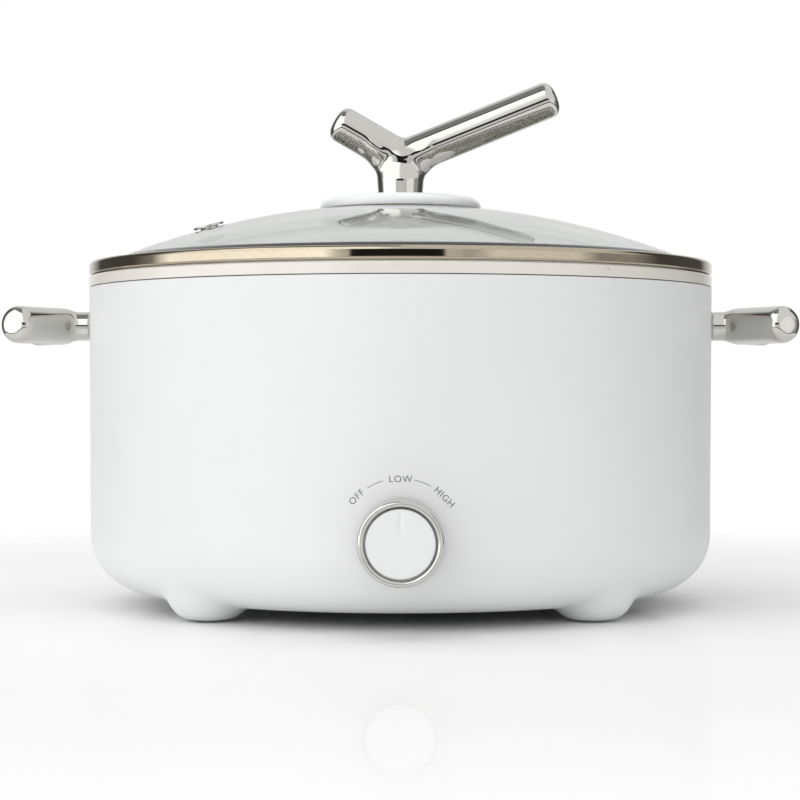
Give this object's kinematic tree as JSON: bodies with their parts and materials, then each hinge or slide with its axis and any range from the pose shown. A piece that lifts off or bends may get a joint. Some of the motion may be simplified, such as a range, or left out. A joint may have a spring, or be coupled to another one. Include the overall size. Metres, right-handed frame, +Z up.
{
  "type": "slow cooker",
  "caption": "Round electric slow cooker with a white casing on moulded feet, a lift-out crock, a domed glass lid, forked metal handles and a rotary heat control.",
  "frame": {"origin": "on the pot's vertical axis, at the level of the undersides of the feet", "axes": "+Z up; -Y is the front, where the control knob is; +X is towards the right-hand side handle and the lid handle's long branch"},
  "size_m": [0.3526, 0.3141, 0.2356],
  "materials": {
    "casing_white": "satin",
    "handle_base_white": "satin",
    "crock_glaze": "gloss",
    "clear_glass": "polished",
    "champagne_steel": "polished",
    "chrome_plate": "polished",
    "foot_rubber": "matte",
    "silicone": "matte",
    "zinc_steel": "satin",
    "pan_aluminium": "satin",
    "mica": "matte",
    "black_plastic": "satin",
    "brass": "satin",
    "fuse_ceramic": "matte",
    "sleeve_brown": "satin",
    "sleeve_blue": "satin",
    "sleeve_green": "satin",
    "sleeve_white": "satin"
  },
  "bodies": {
    "base": {"outer_casing": "casing_white", "base_cover": "zinc_steel", "foot_pad_1": "foot_rubber", "foot_pad_2": "foot_rubber", "foot_pad_3": "foot_rubber", "foot_pad_4": "foot_rubber", "base_screw_1": "zinc_steel", "base_screw_2": "zinc_steel", "base_screw_3": "zinc_steel", "base_screw_4": "zinc_steel", "heating_pan": "pan_aluminium", "heat_shield": "zinc_steel", "heater_band": "mica", "tie_stud": "zinc_steel", "tie_washer": "zinc_steel", "tie_nut": "zinc_steel", "earth_tag": "brass", "rotary_switch_body": "black_plastic", "switch_terminal_1": "brass", "switch_terminal_2": "brass", "switch_screw_1": "zinc_steel", "switch_screw_2": "zinc_steel", "thermal_fuse": "fuse_ceramic", "fuse_clip": "zinc_steel", "live_lead": "sleeve_brown", "fuse_lead": "sleeve_white", "switch_lead": "sleeve_white", "neutral_lead": "sleeve_blue", "earth_lead": "sleeve_green", "inlet_housing": "black_plastic", "inlet_pin_1": "brass", "inlet_pin_2": "brass", "inlet_pin_3": "brass", "inlet_screw_1": "zinc_steel", "inlet_screw_2": "zinc_steel", "side_handle_right": "chrome_plate", "side_handle_left": "chrome_plate", "side_handle_washer_right": "zinc_steel", "side_handle_washer_left": "zinc_steel", "side_handle_screw_right": "zinc_steel", "side_handle_screw_left": "zinc_steel"},
    "crock": {"crock": "crock_glaze"},
    "lid": {"lid_glass": "clear_glass", "lid_rim_ring": "champagne_steel", "steam_vent_eyelet": "chrome_plate", "lid_handle_base": "handle_base_white", "lid_handle": "chrome_plate", "lid_handle_gasket": "silicone", "lid_handle_washer": "zinc_steel", "lid_handle_screw": "zinc_steel"},
    "knob": {"knob_ring": "chrome_plate", "knob_cap": "casing_white", "switch_shaft": "zinc_steel", "knob_spring_clip": "zinc_steel"}
  },
  "joints": [
    {"name": "crock_lift", "type": "slide", "parent": "base", "child": "crock", "axis": [0, 0, 1], "range_m": [0, 0.15]},
    {"name": "lid_lift", "type": "slide", "parent": "crock", "child": "lid", "axis": [0, 0, 1], "range_m": [0, 0.12]},
    {"name": "knob_turn", "type": "hinge", "parent": "base", "child": "knob", "pos_m": [0, -0.15, 0.0373], "axis": [0, 1, 0], "range_deg": [-45, 45]}
  ]
}
